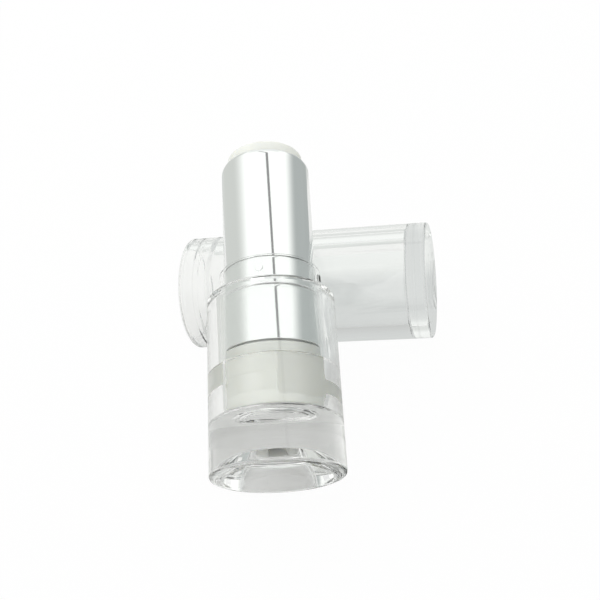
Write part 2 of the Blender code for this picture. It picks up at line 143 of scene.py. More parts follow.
def seen_share(nodes, links, camera_share, mirror_share):
    """Socket with one share for camera rays, another for reflected and transmitted rays, and 0 otherwise."""
    path = nodes.new("ShaderNodeLightPath")
    mirrored = nodes.new("ShaderNodeMath")
    mirrored.operation = "MAXIMUM"
    links.new(path.outputs["Is Glossy Ray"], mirrored.inputs[0])
    links.new(path.outputs["Is Transmission Ray"], mirrored.inputs[1])
    weaker = nodes.new("ShaderNodeMath")
    weaker.operation = "MULTIPLY"
    weaker.inputs[1].default_value = mirror_share
    links.new(mirrored.outputs[0], weaker.inputs[0])
    both = nodes.new("ShaderNodeMath")
    both.operation = "MULTIPLY_ADD"
    both.inputs[1].default_value = camera_share
    links.new(path.outputs["Is Camera Ray"], both.inputs[0])
    links.new(weaker.outputs[0], both.inputs[2])
    return both.outputs[0]


def white_world(tree):
    """White where it is seen, and a soft daylight level where it only lights."""
    nodes, links = tree.nodes, tree.links
    nodes.clear()
    lighting = nodes.new("ShaderNodeBackground")
    lighting.inputs["Color"].default_value = SKY_COLOR
    lighting.inputs["Strength"].default_value = SKY_LEVEL
    seen = nodes.new("ShaderNodeBackground")
    seen.inputs["Color"].default_value = (1, 1, 1, 1)
    mix = nodes.new("ShaderNodeMixShader")
    links.new(seen_share(nodes, links, 1.0, ROOM_SHARE), mix.inputs["Fac"])
    links.new(lighting.outputs[0], mix.inputs[1])
    links.new(seen.outputs[0], mix.inputs[2])
    links.new(mix.outputs[0], nodes.new("ShaderNodeOutputWorld").inputs["Surface"])


white_world(scene.world.node_tree)
print("world:", scene.world.name)

# %% [markdown]
# The floor is pale paper. Where the camera sees it, most of its light comes from an even white, so that the
# background is clean. Metal and acrylic see more of the paper itself, with the soft shadows on it, and that
# is what makes clear walls look grey and solid.

# %% Floor
FLOOR_SIZE = 4.0
FLOOR_CAMERA_SHARE = 0.97
FLOOR_MIRROR_SHARE = 0.1
PAPER = (0.72, 0.72, 0.71, 1)


def floor_material():
    material = bpy.data.materials.new("pale_floor")
    material.use_nodes = True
    nodes, links = material.node_tree.nodes, material.node_tree.links
    nodes.clear()
    paper = nodes.new("ShaderNodeBsdfDiffuse")
    paper.inputs["Color"].default_value = PAPER
    white = nodes.new("ShaderNodeEmission")
    mix = nodes.new("ShaderNodeMixShader")
    links.new(seen_share(nodes, links, FLOOR_CAMERA_SHARE, FLOOR_MIRROR_SHARE), mix.inputs["Fac"])
    links.new(paper.outputs[0], mix.inputs[1])
    links.new(white.outputs[0], mix.inputs[2])
    links.new(mix.outputs[0], nodes.new("ShaderNodeOutputMaterial").inputs["Surface"])
    return material


def flat_sheet(name, width, height):
    """Flat rectangle in its own XY plane, facing +Z."""
    bm = bmesh.new()
    bmesh.ops.create_grid(bm, x_segments=1, y_segments=1, size=0.5)
    bmesh.ops.scale(bm, vec=(width, height, 1), verts=bm.verts)
    mesh = bpy.data.meshes.new(name)
    bm.to_mesh(mesh)
    bm.free()
    sheet = bpy.data.objects.new(name, mesh)
    bpy.context.scene.collection.objects.link(sheet)
    return sheet


floor = flat_sheet("floor", FLOOR_SIZE, FLOOR_SIZE)
floor.data.materials.append(floor_material())
print("floor:", FLOOR_SIZE, "m wide")

# %% [markdown]
# One large soft lamp hangs over the set and another stands behind it, to the left. They only light the
# pieces: no reflection shows them, because the sheets that come next draw the reflections. Each lamp is
# described by its radiance and not its power, so that a change of its size doesn't change how bright it is
# to look at.

# %% Lamps
def soft_lamp(name, place, aim, width, height, radiance):
    """Rectangular lamp that faces a point. An area lamp of power P has a radiance of P / pi / area."""
    data = bpy.data.lights.new(name, "AREA")
    data.shape = "RECTANGLE"
    data.size = width
    data.size_y = height
    data.energy = math.pi * width * height * radiance
    lamp = bpy.data.objects.new(name, data)
    bpy.context.scene.collection.objects.link(lamp)
    lamp.location = place
    lamp.rotation_euler = (Vector(aim) - Vector(place)).to_track_quat("-Z", "Y").to_euler()
    lamp.visible_camera = False
    lamp.visible_glossy = False
    lamp.visible_transmission = False
    return lamp


# Name, place, the point it faces, width and height, all in metres, and radiance
LAMPS = [
    ("overhead", (-0.10, 0.15, 0.60), (0, 0, 0), 0.9, 0.9, 1.0),
    ("behind", (-0.25, 0.55, 0.35), (0, 0, 0.02), 0.8, 0.6, 0.75),
]

for lamp in LAMPS:
    print("lamp:", soft_lamp(*lamp).name)

# %% [markdown]
# A room that is white all round would leave metal and acrylic without edges. Sheets stand round the set
# for that: a white one behind with a greyer foot, a pale one on the left, a grey one on the right and
# another in front of it, all three turning white towards the top, a bright one in front on the left, and a
# white ceiling with a narrow grey strip under it. Pieces on the floor are painted shade: they make it
# greyer on the right and behind, they paint a shadow under the cap, and one in front of the foot is a
# nearly black painted shade. The camera sees none of them, but they draw the bands on the shell and the
# lines in the clear edges. They are placed for this camera, so from another side the straight edge of one
# can show in a clear piece.

# %% Sheets round the set
def sheet_material(name, low_color, high_color, low, high):
    """Even colour that runs from one to another between two heights of the sheet, in metres."""
    material = bpy.data.materials.new(name)
    material.use_nodes = True
    nodes, links = material.node_tree.nodes, material.node_tree.links
    nodes.clear()
    place = nodes.new("ShaderNodeTexCoord")
    split = nodes.new("ShaderNodeSeparateXYZ")
    links.new(place.outputs["Object"], split.inputs[0])
    ramp = nodes.new("ShaderNodeMapRange")
    ramp.interpolation_type = "SMOOTHSTEP"
    ramp.inputs["From Min"].default_value = low
    ramp.inputs["From Max"].default_value = high
    links.new(split.outputs["Y"], ramp.inputs["Value"])
    mix = nodes.new("ShaderNodeMix")
    mix.data_type = "RGBA"
    mix.inputs["A"].default_value = (*low_color, 1)
    mix.inputs["B"].default_value = (*high_color, 1)
    links.new(ramp.outputs[0], mix.inputs["Factor"])
    glow = nodes.new("ShaderNodeEmission")
    links.new(mix.outputs["Result"], glow.inputs["Color"])
    links.new(glow.outputs[0], nodes.new("ShaderNodeOutputMaterial").inputs["Surface"])
    return material


def room_sheet(name, place, faces, width, height, low_color, high_color, ramp):
    """Sheet that only reflections and refractions see; its own Y points up, and 0 is its middle."""
    sheet = flat_sheet(name, width, height)
    sheet.location = place
    sheet.rotation_euler = Vector(faces).to_track_quat("Z", "Y").to_euler()
    sheet.data.materials.append(sheet_material(name, low_color, high_color, *ramp))
    sheet.visible_camera = False
    sheet.visible_diffuse = False
    sheet.visible_shadow = False
    return sheet


def floor_piece(name, place, width, depth, near_color, far_color, ramp, turn):
    """Sheet of painted shade on the floor; its own Y points away from the camera, and 0 is its middle."""
    sheet = room_sheet(name, place, (0, 0, 1), width, depth, near_color, far_color, ramp)
    sheet.rotation_euler = (0, 0, math.radians(turn))
    return sheet


LEFT_GREY = (0.68, 0.70, 0.67)
RIGHT_GREY = (0.47, 0.50, 0.49)
RIGHT_FRONT = (0.60, 0.61, 0.60)
BACK_WHITE = (0.94, 0.96, 0.94)
BACK_LOW = (0.72, 0.74, 0.72)
FRONT_WHITE = (1.35, 1.35, 1.33)
CEILING_WHITE = (1.15, 1.17, 1.14)
GAP_GREY = (0.32, 0.32, 0.32)
EVEN = (0.0, 1.0)
GAP_TURN = 56

# Name, place, the way it faces, width, height, low colour, high colour, heights where the colour turns
STANDING = [
    ("left_sheet", (-0.11, 0.08, 0.11), (1, 0, 0), 0.5, 0.22, LEFT_GREY, CEILING_WHITE, (-0.03, 0.08)),
    ("right_sheet", (0.12, 0.08, 0.10), (-1, 0, 0), 0.5, 0.20, RIGHT_GREY, CEILING_WHITE, (-0.04, 0.03)),
    (
        "right_front_sheet", (0.19, -0.09, 0.13), (-0.19, 0.09, 0),
        0.24, 0.27, RIGHT_FRONT, CEILING_WHITE, (0.03, 0.16),
    ),
    ("back_sheet", (0, 0.36, 0.20), (0, -1, 0), 0.8, 0.40, BACK_LOW, BACK_WHITE, (-0.18, -0.12)),
    ("front_sheet", (-0.22, -0.32, 0.25), (0.6, 1, -0.5), 0.45, 0.4, FRONT_WHITE, FRONT_WHITE, EVEN),
    ("ceiling_sheet", (0.05, 0.05, 0.50), (0, 0, -1), 1.4, 0.9, CEILING_WHITE, CEILING_WHITE, EVEN),
    ("gap_sheet", (0.147, 0.052, 0.498), (0, 0, -1), 0.7, 0.042, GAP_GREY, GAP_GREY, EVEN),
]

standing = {sheet[0]: room_sheet(*sheet) for sheet in STANDING}
standing["gap_sheet"].rotation_euler.rotate_axis("Z", math.radians(GAP_TURN))
print("standing and hanging sheets:", list(standing))

# %% Pieces on the floor: painted shade and painted shadow
# Painted shade that makes the floor greyer on the right and behind
RIGHT_FLOOR_SHADE = (0.46, 0.49, 0.48)
BACK_FLOOR_SHADE = (0.70, 0.72, 0.70)
# The cap casts no shadow, so these colours paint one on the floor under it: darkest on its near side, lighter at
# its far edge
CAP_PAINTED_SHADOW = (0.66, 0.68, 0.67)
CAP_PAINTED_SHADOW_EDGE = (0.86, 0.88, 0.86)
CAP_PAINTED_SHADOW_LOW = (0.57, 0.58, 0.57)
# A nearly black painted shade on the floor in front of the foot, which the clear edges show as dark lines
NEAR_BLACK_SHADE = (0.02, 0.02, 0.02)
DARK_TURN = -25
CAP_TURN = -6.8

# Name, place, width, depth, near colour, far colour, places where the colour turns, turn in degrees
LYING = [
    # Painted shade: the floor greyer on the right and behind
    ("right_floor_shade_sheet", (0.08, 0.15, 0.0005), 0.08, 0.34, RIGHT_FLOOR_SHADE, RIGHT_FLOOR_SHADE, EVEN, 0),
    ("back_floor_shade_sheet", (0.02, 0.14, 0.0004), 0.30, 0.12, BACK_FLOOR_SHADE, BACK_FLOOR_SHADE, EVEN, 0),
    # Painted shade, nearly black, in front of the foot
    ("dark_painted_shade_sheet", (0.004, -0.054, 0.0006), 0.036, 0.060, NEAR_BLACK_SHADE, NEAR_BLACK_SHADE, EVEN, DARK_TURN),
    # The cap's painted shadow, and a darker band of it on the near side
    (
        "cap_painted_shadow_sheet", (0.021, 0.025, 0.0006),
        0.056, 0.050, CAP_PAINTED_SHADOW, CAP_PAINTED_SHADOW_EDGE, (0.003, 0.013), CAP_TURN,
    ),
    (
        "cap_painted_shadow_low_sheet", (0.019, 0.006, 0.0007),
        0.050, 0.012, CAP_PAINTED_SHADOW_LOW, CAP_PAINTED_SHADOW, (-0.001, 0.006), CAP_TURN,
    ),
]

lying = [floor_piece(*sheet) for sheet in LYING]
print("floor pieces:", [sheet.name for sheet in lying])

# %% [markdown]
# ## Turning a piece
#
# A Screw modifier spins an outline round Z, just as a lathe would. The outline runs down its outer side so
# that the faces point out. Arcs in the outline get several steps, and weighted normals keep the flat faces
# flat while the small rounded edges carry all the curvature: without that, light would bend wrongly
# through the clear pieces.

# %% Lathe
TURN_STEPS = 256
ARC_STEPS = 6
SHARP_ANGLE = math.radians(35)
MERGE_DISTANCE = 0.0000005
FLAT_FACE_WEIGHT = 100


def arc(centre, radius, start, end, steps=ARC_STEPS):
    """Points of an arc in an outline, angles in degrees from the outward radius."""
    angles = [math.radians(start + (end - start) * step / steps) for step in range(steps + 1)]
    return [(centre[0] + radius * math.cos(a), centre[1] + radius * math.sin(a)) for a in angles]


def evaluated_mesh(piece):
    """New mesh of a piece with its modifiers applied."""
    return bpy.data.meshes.new_from_object(piece.evaluated_get(bpy.context.evaluated_depsgraph_get()))


def turned(name, outline, closed=False, steps=TURN_STEPS):
    """Object with an outline of (radius, height) points, in millimetres, turned round Z."""
    profile = bpy.data.meshes.new(name + "_outline")
    points = [(radius * MM, 0, height * MM) for radius, height in outline]
    edges = [(i, i + 1) for i in range(len(points) - 1)]
    if closed:
        edges.append((len(points) - 1, 0))
    profile.from_pydata(points, edges, [])
    piece = bpy.data.objects.new(name, profile)
    bpy.context.scene.collection.objects.link(piece)
    screw = piece.modifiers.new("turn", "SCREW")
    screw.steps = steps
    screw.render_steps = steps
    screw.use_merge_vertices = True
    screw.merge_threshold = MERGE_DISTANCE
    mesh = evaluated_mesh(piece)
    piece.modifiers.clear()
    piece.data = mesh
    mesh.name = name
    bpy.data.meshes.remove(profile)
    return piece


def smooth(piece):
    """Smooth shading with sharp corners, and normals weighted by the size of the faces."""
    piece.data.shade_smooth()
    piece.data.set_sharp_from_angle(angle=SHARP_ANGLE)
    weighted = piece.modifiers.new("weighted_normals", "WEIGHTED_NORMAL")
    weighted.keep_sharp = True
    weighted.weight = FLAT_FACE_WEIGHT


def worked(piece, others, operation):
    """Join other meshes onto a piece, or cut them out of it, and remove them."""
    for other in others:
        boolean = piece.modifiers.new(other.name, "BOOLEAN")
        boolean.operation = operation
        boolean.object = other
    mesh = evaluated_mesh(piece)
    old = piece.data
    piece.modifiers.clear()
    piece.data = mesh
    mesh.name = old.name
    bpy.data.meshes.remove(old)
    for other in others:
        bpy.data.objects.remove(other)


def finish_piece(piece, axis, node, body, material):
    """Place a piece on its axis, give it its finish, and let it stand for its node."""
    smooth(piece)
    piece.data.materials.clear()
    piece.data.materials.append(material)
    piece.matrix_world = axis
    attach(piece, body)
    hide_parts(node)
    low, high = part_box(node)
    bpy.context.view_layer.update()
    corners = [piece.matrix_world @ vertex.co for vertex in piece.data.vertices]
    off = max(
        max(abs(min(c[i] for c in corners) - low[i]), abs(max(c[i] for c in corners) - high[i]))
        for i in range(3)
    )
    print(f"{piece.name}: {len(piece.data.polygons)} faces, box within {off / MM:.3f} mm of {node}")


# %% [markdown]
# ## Effects that several finishes share
#
# Moulded plastic is never perfectly flat: it has long soft ripples from the flow in the mould. The metal
# shell gets the same ripples, only fainter, for the slight waves that drawing leaves. Handled pieces also
# carry faint smudges and a few hairlines, which show only as a change of gloss, and no colour is quite even.
# Each of these effects is a node group with named inputs, so that every material can use it at its own
# strength.

# %% Group: ripple of moulded plastic
def new_group(name, inputs, outputs):
    """Node group with named sockets: inputs as (name, default), outputs as (name, socket type)."""
    group = bpy.data.node_groups.new(name, "ShaderNodeTree")
    for label, default in inputs:
        socket = group.interface.new_socket(name=label, in_out="INPUT", socket_type="NodeSocketFloat")
        socket.default_value = default
    for label, kind in outputs:
        group.interface.new_socket(name=label, in_out="OUTPUT", socket_type=kind)
    start = group.nodes.new("NodeGroupInput")
    end = group.nodes.new("NodeGroupOutput")
    return group, start, end


def object_noise(group, scale_socket, stretch, detail):
    """Noise in the piece's own space, stretched along Z."""
    nodes, links = group.nodes, group.links
    place = nodes.new("ShaderNodeTexCoord")
    mapping = nodes.new("ShaderNodeMapping")
    mapping.inputs["Scale"].default_value = (1, 1, 1 / stretch)
    links.new(place.outputs["Object"], mapping.inputs["Vector"])
    noise = nodes.new("ShaderNodeTexNoise")
    noise.inputs["Detail"].default_value = detail
    links.new(mapping.outputs["Vector"], noise.inputs["Vector"])
    links.new(scale_socket, noise.inputs["Scale"])
    return noise.outputs["Fac"]


LONG_STRETCH = 2.5
SHORT_STRETCH = 1.5
SHORT_TIMES = 4.0


def ripple_group():
    """Height of long soft waves, with a share of shorter ones."""
    group, start, end = new_group(
        "mould_ripple", [("Scale", 260.0), ("Fine Share", 0.15)], [("Height", "NodeSocketFloat")]
    )
    nodes, links = group.nodes, group.links
    long_waves = object_noise(group, start.outputs["Scale"], LONG_STRETCH, detail=0.0)
    finer = nodes.new("ShaderNodeMath")
    finer.operation = "MULTIPLY"
    finer.inputs[1].default_value = SHORT_TIMES
    links.new(start.outputs["Scale"], finer.inputs[0])
    short_waves = object_noise(group, finer.outputs[0], SHORT_STRETCH, detail=1.0)
    mix = nodes.new("ShaderNodeMix")
    links.new(start.outputs["Fine Share"], mix.inputs["Factor"])
    links.new(long_waves, mix.inputs["A"])
    links.new(short_waves, mix.inputs["B"])
    links.new(mix.outputs["Result"], end.inputs["Height"])
    return group


MOULD_RIPPLE = ripple_group()

# %% Group: gloss that handling leaves
SMUDGE_RANGE = (0.48, 0.70)
HAIRLINE_RANGE = (0.70, 0.74)
HAIRLINE_TIMES = 9.0
HAIRLINE_STRETCH = 40.0


def handling_group():
    """Roughness with soft smudges and thin lines along the piece."""
    group, start, end = new_group(
        "handling",
        [("Gloss", 0.05), ("Smudge", 0.02), ("Hairline", 0.05), ("Scale", 300.0)],
        [("Roughness", "NodeSocketFloat")],
    )
    nodes, links = group.nodes, group.links
    patches = object_noise(group, start.outputs["Scale"], stretch=1.0, detail=3.0)
    patch = nodes.new("ShaderNodeMapRange")
    patch.inputs["From Min"].default_value = SMUDGE_RANGE[0]
    patch.inputs["From Max"].default_value = SMUDGE_RANGE[1]
    links.new(patches, patch.inputs["Value"])
    fine = nodes.new("ShaderNodeMath")
    fine.operation = "MULTIPLY"
    fine.inputs[1].default_value = HAIRLINE_TIMES
    links.new(start.outputs["Scale"], fine.inputs[0])
    lines = object_noise(group, fine.outputs[0], HAIRLINE_STRETCH, detail=0.0)
    line = nodes.new("ShaderNodeMapRange")
    line.inputs["From Min"].default_value = HAIRLINE_RANGE[0]
    line.inputs["From Max"].default_value = HAIRLINE_RANGE[1]
    links.new(lines, line.inputs["Value"])
    smudged = nodes.new("ShaderNodeMath")
    smudged.operation = "MULTIPLY_ADD"
    links.new(patch.outputs[0], smudged.inputs[0])
    links.new(start.outputs["Smudge"], smudged.inputs[1])
    links.new(start.outputs["Gloss"], smudged.inputs[2])
    lined = nodes.new("ShaderNodeMath")
    lined.operation = "MULTIPLY_ADD"
    lined.use_clamp = True
    links.new(line.outputs[0], lined.inputs[0])
    links.new(start.outputs["Hairline"], lined.inputs[1])
    links.new(smudged.outputs[0], lined.inputs[2])
    links.new(lined.outputs[0], end.inputs["Roughness"])
    return group


HANDLING = handling_group()

# %% Group: drift of a colour
def tint_group():
    """Colour that drifts a little between two tints."""
    group, start, end = new_group("tint_drift", [("Scale", 120.0)], [("Color", "NodeSocketColor")])
    for label, tint in (("Tint A", (1, 1, 1, 1)), ("Tint B", (0.9, 0.9, 0.9, 1))):
        socket = group.interface.new_socket(name=label, in_out="INPUT", socket_type="NodeSocketColor")
        socket.default_value = tint
    nodes, links = group.nodes, group.links
    drift = object_noise(group, start.outputs["Scale"], stretch=2.0, detail=2.0)
    mix = nodes.new("ShaderNodeMix")
    mix.data_type = "RGBA"
    links.new(drift, mix.inputs["Factor"])
    links.new(start.outputs["Tint A"], mix.inputs["A"])
    links.new(start.outputs["Tint B"], mix.inputs["B"])
    links.new(mix.outputs["Result"], end.inputs["Color"])
    return group


TINT_DRIFT = tint_group()
print("node groups:", [group.name for group in bpy.data.node_groups])

# %% [markdown]
# ## Finishes
#
# Every finish is one Principled BSDF. What varies over the surface comes from the groups: the tint, the
# gloss and the ripple. What is the same everywhere, such as the index of refraction, is typed on the
# shader's own socket.

# %% Finish builder
def placed(nodes, group, **values):
    """Group node with its inputs set."""
    node = nodes.new("ShaderNodeGroup")
    node.node_tree = group
    for label, value in values.items():
        node.inputs[label.replace("_", " ")].default_value = value
    return node


def finish(name, tint_a, tint_b, handling, ripple, ripple_depth, **sockets):
    """Material from the three shared groups and plain values for other sockets."""
    material = bpy.data.materials.new(name)
    material.use_nodes = True
    nodes, links = material.node_tree.nodes, material.node_tree.links
    shader = nodes["Principled BSDF"]
    tint = placed(nodes, TINT_DRIFT, Tint_A=(*tint_a, 1), Tint_B=(*tint_b, 1))
    links.new(tint.outputs["Color"], shader.inputs["Base Color"])
    gloss = placed(nodes, HANDLING, **handling)
    links.new(gloss.outputs["Roughness"], shader.inputs["Roughness"])
    waves = placed(nodes, MOULD_RIPPLE, **ripple)
    bump = nodes.new("ShaderNodeBump")
    bump.inputs["Strength"].default_value = 1.0
    bump.inputs["Distance"].default_value = ripple_depth
    links.new(waves.outputs["Height"], bump.inputs["Height"])
    links.new(bump.outputs["Normal"], shader.inputs["Normal"])
    for label, value in sockets.items():
        shader.inputs[label.replace("_", " ")].default_value = value
    print("finish:", material.name)
    return material


# %% [markdown]
# The base, the collar and the cap are clear acrylic. Lowering Alpha would let the background through
# without bending it, so the material transmits light instead, with acrylic's index of refraction, and the
# thick walls bend it as real ones do. The cap's ripples are longer than the base's, so it has an acrylic of
# its own.

# %% Clear acrylic
ACRYLIC_INDEX = 1.49
BASE_RIPPLE = 160.0
CAP_RIPPLE = 100.0
RIPPLE_DEPTH = 0.000005


def acrylic(name, ripple_scale):
    """Clear acrylic; a smaller scale gives longer ripples."""
    return finish(
        name,
        tint_a=(0.996, 0.998, 0.996),
        tint_b=(0.988, 0.992, 0.990),
        handling={"Gloss": 0.0, "Smudge": 0.015, "Hairline": 0.03},
        ripple={"Scale": ripple_scale, "Fine_Share": 0.02},
        ripple_depth=RIPPLE_DEPTH,
        Transmission_Weight=1.0,
        IOR=ACRYLIC_INDEX,
    )


clear_acrylic = acrylic("clear_acrylic", BASE_RIPPLE)
cap_acrylic = acrylic("cap_acrylic", CAP_RIPPLE)

# %% [markdown]
# The shell is bright aluminium. A metallic surface with a low roughness mirrors the sheets round it as
# clear bands, and the smudges and hairlines soften them only here and there.

# %% Bright anodised silver
silver = finish(
    "silver",
    tint_a=(0.90, 0.91, 0.91),
    tint_b=(0.87, 0.88, 0.88),
    handling={"Gloss": 0.05, "Smudge": 0.03, "Hairline": 0.05},
    ripple={"Scale": 150.0, "Fine_Share": 0.02},
    ripple_depth=0.000002,
    Metallic=1.0,
)

# %% [markdown]
# The guide tube is a plastic without dye, a little yellowish and not quite opaque. Some subsurface
# scattering lets light in under its skin and out again close by, which makes it look softer than paint.

# %% Natural white
natural_white = finish(
    "natural_white",
    tint_a=(0.80, 0.81, 0.77),
    tint_b=(0.74, 0.75, 0.70),
    handling={"Gloss": 0.32, "Smudge": 0.08, "Hairline": 0.05},
    ripple={"Scale": 400.0, "Fine_Share": 0.3},
    ripple_depth=0.000015,
    Subsurface_Weight=0.4,
    Subsurface_Radius=(1.0, 0.95, 0.8),
    Subsurface_Scale=0.0012,
    IOR=1.5,
)

# %% [markdown]
# The cup and the hidden spiral are a duller white plastic. Little of the cup is seen and nothing of the
# spiral, so this finish is plain and has no light under its skin.

# %% White inner plastic
white_inner = finish(
    "white_inner",
    tint_a=(0.84, 0.84, 0.81),
    tint_b=(0.79, 0.79, 0.76),
    handling={"Gloss": 0.38, "Smudge": 0.06, "Hairline": 0.04},
    ripple={"Scale": 500.0, "Fine_Share": 0.4},
    ripple_depth=0.000012,
    IOR=1.5,
)

# %% [markdown]
# ## The clear base
#
# The base is a thick acrylic cylinder. Its lowest 9 mm are solid but for a cone-shaped recess in the foot,
# and the tube stands on the narrow ring round it. Above that it is bored for the white plug, and then wider
# for the collar. Two ring grooves in the bore's floor show as bright ellipses through the side. The clear
# pieces cast no shadow here: Blender would give them nearly the shadow of opaque ones, and that would turn
# the white plug dark.

# %% Sizes where the pieces meet
SHELL_RADIUS = 8.0
COLLAR_BORE = 8.2
COLLAR_RADIUS = 8.8
BASE_BORE = 8.85
BASE_RADIUS = 11.0
BASE_TOP = 30.7
BASE_FLOOR = 9.2
PLUG_RADIUS = 8.0
PLUG_BORE = 8.1
PLUG_LOW = 9.5
PLUG_TOP = 19.9
LEDGE = 17.8

# %% Clear base
BASE_EDGE = 0.5
FLOOR_FILLET = 0.6
PAD_RADIUS = 3.4
PAD_DEPTH = 0.15
# Inner radius, outer radius and depth of each ring groove
RINGS = [(3.45, 4.0, 0.4), (4.2, 4.7, 0.3)]
RING_STEPS = 6
FOOT_WIDTH = 0.9
FOOT_DEPTH = 2.9
FOOT_ROOF_RADIUS = 5.2
# Width and height of the small bevel round the roof of the recess
ROOF_EASE = (0.35, 0.2)
BORE_CHAMFER = 0.3


def groove(inside, outside, depth):
    """Rounded ring groove in the bore's floor, from its inner radius outwards."""
    shares = [step / RING_STEPS for step in range(RING_STEPS + 1)]
    return [
        (inside + (outside - inside) * share, BASE_FLOOR - depth * math.sin(math.pi * share))
        for share in shares
    ]


def base_outline():
    foot_inside = BASE_RADIUS - BASE_EDGE - FOOT_WIDTH
    return [
        (0, BASE_FLOOR - PAD_DEPTH),
        (PAD_RADIUS, BASE_FLOOR - PAD_DEPTH),
        *[point for ring in RINGS for point in groove(*ring)],
        *arc((PLUG_BORE - FLOOR_FILLET, BASE_FLOOR + FLOOR_FILLET), FLOOR_FILLET, -90, 0),
        (PLUG_BORE, LEDGE),
        (BASE_BORE, LEDGE),
        (BASE_BORE, BASE_TOP - BORE_CHAMFER),
        (BASE_BORE + BORE_CHAMFER, BASE_TOP),
        *arc((BASE_RADIUS - BASE_EDGE, BASE_TOP - BASE_EDGE), BASE_EDGE, 90, 0),
        *arc((BASE_RADIUS - BASE_EDGE, BASE_EDGE), BASE_EDGE, 0, -90),
        (foot_inside, 0),
        (FOOT_ROOF_RADIUS + ROOF_EASE[0], FOOT_DEPTH - ROOF_EASE[1]),
        (FOOT_ROOF_RADIUS, FOOT_DEPTH),
        (0, FOOT_DEPTH),
    ]


base_fine = turned("clear_base", base_outline())
finish_piece(base_fine, TUBE, "base_shell", "base", clear_acrylic)
base_fine.visible_shadow = False

# %% [markdown]
# ## The clear collar
#
# A thin clear sleeve is pressed into the base, and its neck stands out of it. Four small flattened balls on
# the neck hold the cap. Each ball is joined to the sleeve with a Boolean, so that light passes through one
# solid and doesn't meet a hidden wall between the two.

# %% Clear collar
COLLAR_LOW = 17.85
COLLAR_TOP = 35.6
COLLAR_EDGE = 0.3
BUMP_COUNT = 4
BUMP_RADIUS = 0.85
BUMP_THICKNESS = 0.7
BUMP_PROUD = 0.2
BUMP_HEIGHT = 3.0
BUMP_TURN = math.radians(-1.5)


def collar_outline():
    return [
        (COLLAR_BORE, COLLAR_TOP),
        *arc((COLLAR_RADIUS - COLLAR_EDGE, COLLAR_TOP - COLLAR_EDGE), COLLAR_EDGE, 90, 0),
        (COLLAR_RADIUS, COLLAR_LOW),
        (COLLAR_BORE, COLLAR_LOW),
    ]


def bump(turn):
    """Flattened ball, sunk in the collar's wall so that a little of it stands out."""
    bm = bmesh.new()
    bmesh.ops.create_uvsphere(bm, u_segments=32, v_segments=20, radius=1)
    size = Vector((BUMP_THICKNESS / 2, BUMP_RADIUS, BUMP_RADIUS)) * MM
    bmesh.ops.scale(bm, vec=size, verts=bm.verts)
    outwards = COLLAR_RADIUS + BUMP_PROUD - BUMP_THICKNESS / 2
    middle = Vector((outwards, 0, BASE_TOP + BUMP_HEIGHT)) * MM
    bmesh.ops.translate(bm, vec=middle, verts=bm.verts)
    bmesh.ops.rotate(bm, cent=(0, 0, 0), matrix=Matrix.Rotation(turn, 3, "Z"), verts=bm.verts)
    mesh = bpy.data.meshes.new("bump")
    bm.to_mesh(mesh)
    bm.free()
    ball = bpy.data.objects.new("bump", mesh)
    bpy.context.scene.collection.objects.link(ball)
    return ball


collar_fine = turned("clear_collar", collar_outline(), closed=True)
first = BUMP_TURN - math.pi / 2
bumps = [bump(first + index * 2 * math.pi / BUMP_COUNT) for index in range(BUMP_COUNT)]
worked(collar_fine, bumps, "UNION")
finish_piece(collar_fine, TUBE, "collar", "base", clear_acrylic)
collar_fine.visible_shadow = False

# %% [markdown]
# ## The guide tube
#
# The natural white guide tube has a plug at its foot, which fills the base's bore, and a long slotted tube
# that ends in the pale rim above the shell. It is a softer, slightly translucent plastic. Three sectors of
# the plug's side are brought up to the wall of the bore, as in a press fit, so that no air lies between.

# %% Guide tube
GUIDE_BORE = 6.5
GUIDE_RADIUS = 6.95
GUIDE_TOP = 59.3
RIM_EDGE = 0.15
# How much the rim narrows, and over what height
RIM_TAPER = (0.12, 1.0)
BEAD_RADIUS = 7.3
BEAD_LOW = 21.1
BEAD_HEIGHT = 0.5
PLUG_FLOOR = 1.2
PLUG_EDGE = 0.3
WAIST_RADIUS = 7.88
WAIST_SLOPE = 0.4
WAIST_LOW = 11.2
WAIST_TOP = 15.2
PRESSED_RADIUS = 8.12
PRESS_CATCH_SHARE = 0.99
# Low and high end, middle of the sector and half its width in degrees
PRESSED = [(14.2, 18.6, 183, 40), (9.9, 17.7, -47, 28), (11.9, 14.7, 20, 40)]
# Heights where the plug's outline has a point, so that a pressed sector can begin and end there
PLUG_RINGS = [18.65, 18.6, 17.7, 17.65, 14.75, 14.7, 14.2, 14.15, 11.9, 11.85, 9.9]
KEY_HOLE = (3.2, 2.0)
LUG_LEVEL = 23.3
LUG_SLOT = 1.9
CUP_TRAVEL = 24.0


